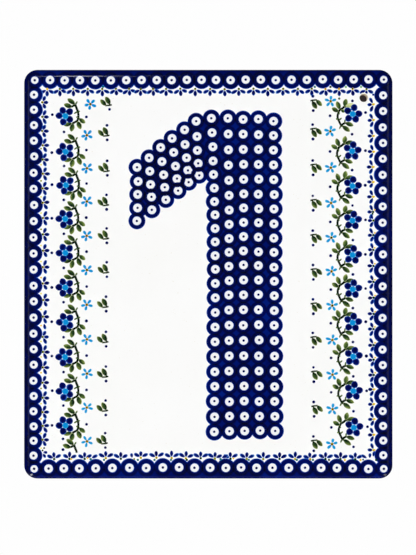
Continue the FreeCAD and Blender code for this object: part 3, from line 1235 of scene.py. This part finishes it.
# %% Stamped cobalt
INK_SPAN = 3.0
WASH_INK = 0.52
WASH_FROM = 0.1
USUAL_RATIO = 0.52
STREAK_SCALE, STREAKS = 260.0, (0.92, 1.08)
PATCH_SCALE, PATCHES = 60.0, (0.86, 1.14)
ink_blues = ((0.0, linear(247, 247, 246)), (0.2, linear(104, 154, 230)),
             (0.42, linear(14, 70, 178)), (0.68, linear(2, 28, 120)), (1.0, linear(1, 11, 86)),
             (1.4, linear(3, 9, 62)), (2.1, linear(5, 8, 46)), (2.8, linear(4, 5, 30)))
RING_PROFILE = ((0.0, 0.14), (0.06, 0.36), (0.13, 0.72), (0.24, 1.0), (0.66, 1.05), (0.77, 0.78),
                (0.86, 0.46), (0.93, 0.28), (1.0, 0.16))


def ring_ink(tree, attribute, ratio=None):
    """Ink of one ring, how far across it the place is from 0 to 1, and the grid's third part."""
    length, parts = print_grid(tree, attribute)
    if ratio is None:
        above = maths(tree, "SUBTRACT", length, parts["Z"])
        width = maths(tree, "SUBTRACT", 1.0, parts["Z"])
        across = maths(tree, "DIVIDE", above, width)
    else:
        across = ranged(tree, length, ratio, 1.0, 0.0, 1.0)
    ink = ramp(tree, [(place, (ink, ink, ink, 1)) for place, ink in RING_PROFILE], across)
    return ink, across, parts["Z"]


cobalt, tree, shader = glazed("stamped_cobalt")
own_ink, own_across, _ = ring_ink(tree, "own_grid")
other_ink, _, wash = ring_ink(tree, "other_grid", USUAL_RATIO)
ink = maths(tree, "ADD", own_ink, other_ink)
wash = maths(tree, "MULTIPLY", wash, ranged(tree, own_across, WASH_FROM, 1.0, 0.0, 1.0))
ink = maths(tree, "ADD", ink, maths(tree, "MULTIPLY", wash, WASH_INK))
ink = maths(tree, "MULTIPLY", ink, uneven(tree, clay_noise(tree, STREAK_SCALE), *STREAKS))
ink = maths(tree, "MULTIPLY", ink, uneven(tree, clay_noise(tree, PATCH_SCALE, 1.0), *PATCHES))
blue = ramp(tree, [(amount / INK_SPAN, colour) for amount, colour in ink_blues],
            maths(tree, "DIVIDE", ink, INK_SPAN))
tree.links.new(blue, shader.inputs["Base Color"])
print(len(ink_blues), "blues in the scale of cobalt")

# %% [markdown]
# The brushed colours have shades too. Each print carries its own shade in its grid, and the grid
# tells how near the edge a place is, so the cobalt of a petal thins to a brighter rim where the
# glaze draws it out. A leaf runs from dark to light across it instead, as one brush loaded with
# two greens leaves it, and its last shade is the pale green that ran out round it.

# %% Brushed colours
BLOT_SCALE = 900.0


def brushed(name, shades, mottle, lean=None):
    """A glazed colour from one ramp for each shade, run from middle to edge, or along lean."""
    material, tree, shader = glazed(name)
    run, parts = print_grid(tree)
    if lean is not None:
        along = maths(tree, "MULTIPLY", parts["X"], lean[0])
        across = maths(tree, "MULTIPLY", parts["Y"], lean[1])
        run = maths(tree, "ADD", maths(tree, "ADD", along, across), 0.5)
    run = maths(tree, "ADD", run, uneven(tree, clay_noise(tree, BLOT_SCALE), -mottle, mottle))
    colour = None
    for number, (tone, stops) in enumerate(shades):
        made = ramp(tree, [(place, linear(*seen)) for place, seen in stops], run)
        if colour is not None:
            mixed = node(tree, "ShaderNodeMix", data_type="RGBA")
            tree.links.new(ranged(tree, parts["Z"], shades[number - 1][0], tone, 0.0, 1.0),
                           mixed.inputs["Factor"])
            tree.links.new(colour, mixed.inputs["A"])
            tree.links.new(made, mixed.inputs["B"])
            made = mixed.outputs["Result"]
        colour = made
    tree.links.new(colour, shader.inputs["Base Color"])
    return material


brushed_cobalt = brushed("brushed_cobalt", (
    (0.0, ((0.0, (2, 3, 50)), (0.6, (3, 5, 64)), (0.85, (6, 20, 110)), (1.0, (40, 92, 190)))),
    (0.4, ((0.0, (2, 5, 64)), (0.6, (4, 10, 84)), (0.85, (8, 34, 128)), (1.0, (56, 110, 200)))),
    (1.0, ((0.0, (2, 10, 90)), (0.55, (4, 22, 112)), (0.8, (12, 66, 164)),
           (1.0, (88, 148, 218))))), 0.14)
sky_blue = brushed("sky_blue", (
    (0.2, ((0.0, (2, 140, 212)), (0.6, (4, 132, 208)), (1.0, (48, 172, 224)))),
    (1.0, ((0.0, (20, 154, 214)), (0.6, (20, 154, 216)), (1.0, (80, 190, 230))))), 0.12)
leaf_green = brushed("leaf_green", (
    (-0.8, ((0.0, (8, 24, 16)), (1.0, (26, 44, 28)))),
    (0.0, ((0.0, (10, 32, 20)), (0.35, (26, 50, 26)), (0.65, (62, 88, 40)), (1.0, (128, 144, 66)))),
    (1.0, ((0.0, (26, 52, 28)), (0.35, (60, 88, 42)), (0.65, (104, 128, 56)), (1.0, (156, 170, 92)))),
    (2.5, ((0.0, (150, 168, 92)), (0.5, (206, 214, 150)), (1.0, (226, 230, 176))))),
    0.14, lean=(0.3, 0.34))
for finish in (brushed_cobalt, sky_blue, leaf_green):
    print(finish.name, "has", len(finish.node_tree.nodes), "nodes")

# %% [markdown]
# The small dabs go through one scale, so that a touch between two colours can be had: brown,
# amber, yellow, olive, green, teal, and then the two palest ones.

# %% Middles of the small flowers, and dabs
centre, tree, shader = glazed("centre_colour")
_, parts = print_grid(tree)
touches = ramp(tree, ((BROWN, linear(58, 34, 4)), (AMBER, linear(196, 130, 10)),
                      (YELLOW, linear(242, 202, 34)), (OLIVE, linear(146, 148, 22)),
                      (GREEN, linear(6, 58, 20)), (TEAL, linear(10, 112, 118)),
                      (PALE_GREEN, linear(120, 182, 124)), (PALE_YELLOW, linear(240, 230, 120))),
               parts["Z"])
tree.links.new(touches, shader.inputs["Base Color"])
print(centre.name, "has", len(tree.nodes), "nodes")

# %% [markdown]
# Bare stoneware is the same clay with no glaze: warm, matt and a little sandy to the thumb. It has
# one noise for its colour and its bumps, because a grain of sand is both a bump and a dark spot.

# %% Bare stoneware
SAND_SCALE, SAND_DETAIL = 700.0, 4.0
SAND_BUMP, SAND_BUMP_STRENGTH = 0.0001, 0.6
BARE_ROUGHNESS = 0.8
bare, tree, shader = new_finish("bare_stoneware")
sand = clay_noise(tree, SAND_SCALE, SAND_DETAIL)
sandy = ramp(tree, ((0.3, linear(222, 210, 190)), (0.7, linear(238, 228, 211))), sand)
tree.links.new(sandy, shader.inputs["Base Color"])
shader.inputs["Roughness"].default_value = BARE_ROUGHNESS
bumped(tree, shader, sand, SAND_BUMP, SAND_BUMP_STRENGTH)

# %% [markdown]
# The finishes go on the mesh in the order of the list that the faces were painted by.

# %% Put the finishes on
for material in (white, cobalt, brushed_cobalt, sky_blue, leaf_green, centre, bare):
    clay.materials.append(material)
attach(plaque, "root")
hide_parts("plaque")
print([material.name for material in clay.materials])

# %% [markdown]
# The plaque hangs on a wall, so the floor is well below it. Behind the hanging hole, far back,
# stands one small dark card: on a real wall the cavity behind the hole is in shade, and the card
# gives the hole that shade without hiding the back of the plaque from any other side. It glows with
# its own dark colour, so no lamp changes it. The glaze mirrors neither the card nor the floor.

# %% The floor
FLOOR_DROP = 0.5
FLOOR_HALF = 1.5
FLOOR_ROUGHNESS, CARD_ROUGHNESS = 0.7, 0.9
SQUARE = ((-1, -1), (1, -1), (1, 1), (-1, 1))


def flat_sheet(name, corners, colour, roughness):
    """A plain stage surface."""
    mesh = bpy.data.meshes.new(name)
    mesh.from_pydata(corners, [], [(0, 1, 2, 3)])
    sheet = bpy.data.objects.new(name, mesh)
    bpy.context.scene.collection.objects.link(sheet)
    material, _, shader = new_finish(name)
    shader.inputs["Base Color"].default_value = colour
    shader.inputs["Roughness"].default_value = roughness
    mesh.materials.append(material)
    sheet.visible_glossy = False
    return shader


flat_sheet("pale_floor", [(x * FLOOR_HALF, y * FLOOR_HALF, -FLOOR_DROP) for x, y in SQUARE],
           linear(225, 225, 222), FLOOR_ROUGHNESS)
print(f"floor {FLOOR_DROP} m below the plaque's middle")

# %% [markdown]
# The photograph was taken straight on from some way off: the plaque's sides stay parallel, and
# only the wall of the hanging hole shows that the lens is near the middle. The camera's distance
# is chosen for that, and its lens then follows from how much of the picture the plaque fills.

# %% The camera
PHOTO_WIDTH, PHOTO_HEIGHT = 416, 555
PLAQUE_IN_PHOTO = 368.3
PLAQUE_RIGHT_OF_MIDDLE, PLAQUE_ABOVE_MIDDLE = 0.3, 3.3
CAMERA_DISTANCE = 1.0
SENSOR = 36.0
edge_plane = low.y + FRONT_ROLL * MM
pixel = WIDTH * MM / PLAQUE_IN_PHOTO
lens = bpy.data.cameras.new("camera")
lens.sensor_fit = "HORIZONTAL"
lens.sensor_width = SENSOR
lens.lens = SENSOR * CAMERA_DISTANCE / (PHOTO_WIDTH * pixel)
camera = bpy.data.objects.new("camera", lens)
camera.location = (-PLAQUE_RIGHT_OF_MIDDLE * pixel, edge_plane - CAMERA_DISTANCE,
                   -PLAQUE_ABOVE_MIDDLE * pixel)
camera.rotation_euler = (math.radians(90), 0, 0)
bpy.context.scene.collection.objects.link(camera)
bpy.context.scene.camera = camera
print(f"lens {lens.lens:.1f} mm, one photo pixel is {pixel / MM:.3f} mm on the plaque")

# %% The shade card
CARD_BACK, CARD_HALF = 3.2, 0.03
SHADE = linear(42, 36, 35)
hole_from_camera = Vector((hole_x * MM, 0, hole_z * MM)) - camera.location
card_middle = camera.location + hole_from_camera * (CARD_BACK + CAMERA_DISTANCE) / CAMERA_DISTANCE
card = flat_sheet("shade_card", [card_middle + Vector((x * CARD_HALF, 0, z * CARD_HALF))
                                 for x, z in SQUARE], SHADE, CARD_ROUGHNESS)
card.inputs["Emission Color"].default_value = SHADE
card.inputs["Emission Strength"].default_value = 1.0
print(f"shade card {CARD_BACK} m behind the hole")

# %% [markdown]
# Two broad lamps light the plaque from both sides, and a third fills its back. Glaze is a mirror, so
# on a real set they would be crossed with a polarising filter to keep their shine out of the dark
# blue, and here they are simply left out of the reflections. Two dim ones put the soft sheen on
# the rolled sides, and three close under the plaque light its lower edge. A small strip high over
# the camera draws the thin bright line along the top.

# %% Lights
PLAQUE_MIDDLE = Vector((0, 0, 0))
FILL_SIZE, FILL_POWER = (0.8, 1.0), 15.5
SHEEN_SIZE, SHEEN_POWER = (0.3, 0.7), 0.3
SIDES = (("left", -1), ("right", 1))


def lamp(name, place, size, watts, shines=True):
    """A soft lamp that faces the plaque."""
    light = bpy.data.lights.new(name, "AREA")
    light.shape = "RECTANGLE"
    light.size, light.size_y = size
    light.energy = watts
    made = bpy.data.objects.new(name, light)
    made.location = place
    made.rotation_euler = (PLAQUE_MIDDLE - made.location).to_track_quat("-Z", "Y").to_euler()
    made.visible_glossy = shines
    made.visible_camera = False
    bpy.context.scene.collection.objects.link(made)
    return made


for side, sign in SIDES:
    lamp(side + "_fill", Vector((sign * 1.1, -1.1, 0.25)), FILL_SIZE, FILL_POWER, shines=False)
for side, sign in SIDES:
    lamp(side + "_sheen", Vector((sign * 1.2, -1.0, 0.1)), SHEEN_SIZE, SHEEN_POWER)
lamp("back_fill", Vector((0, 1.1, 0.8)), (1.2, 0.8), 18.0, shines=False)
lamp("low_strip", Vector((0, -0.02, -0.42)), (1.0, 0.05), 0.06)
lamp("low_left_glint", Vector((-0.31, -0.06, -0.44)), (0.3, 0.05), 0.42)
lamp("low_right_glint", Vector((0.31, -0.06, -0.44)), (0.3, 0.05), 0.16)
lamp("top_strip", Vector((-0.157, -1.2, 0.78)), (0.03, 0.16), 0.36)
print(len(bpy.data.lights), "lamps")

# %% [markdown]
# The photograph's ground is plain white. It is only what the camera sees: every other ray meets a
# very dim grey, so the glaze has no white room to mirror, and the light stays with the lamps.

# %% The white surroundings
WORLD_GLOW = 0.012
world = bpy.data.worlds.new("studio")
bpy.context.scene.world = world
world.use_nodes = True
tree = world.node_tree
seen = tree.nodes["Background"]
seen.inputs["Color"].default_value = linear(254, 254, 254)
dim = node(tree, "ShaderNodeBackground")
dim.inputs["Color"].default_value = linear(200, 200, 205)
dim.inputs["Strength"].default_value = WORLD_GLOW
path = node(tree, "ShaderNodeLightPath")
choose = node(tree, "ShaderNodeMixShader")
tree.links.new(path.outputs["Is Camera Ray"], choose.inputs["Fac"])
tree.links.new(dim.outputs["Background"], choose.inputs[1])
tree.links.new(seen.outputs["Background"], choose.inputs[2])
tree.links.new(choose.outputs["Shader"], tree.nodes["World Output"].inputs["Surface"])
bpy.context.scene.view_settings.view_transform = "Standard"
print("the world glows at", WORLD_GLOW)
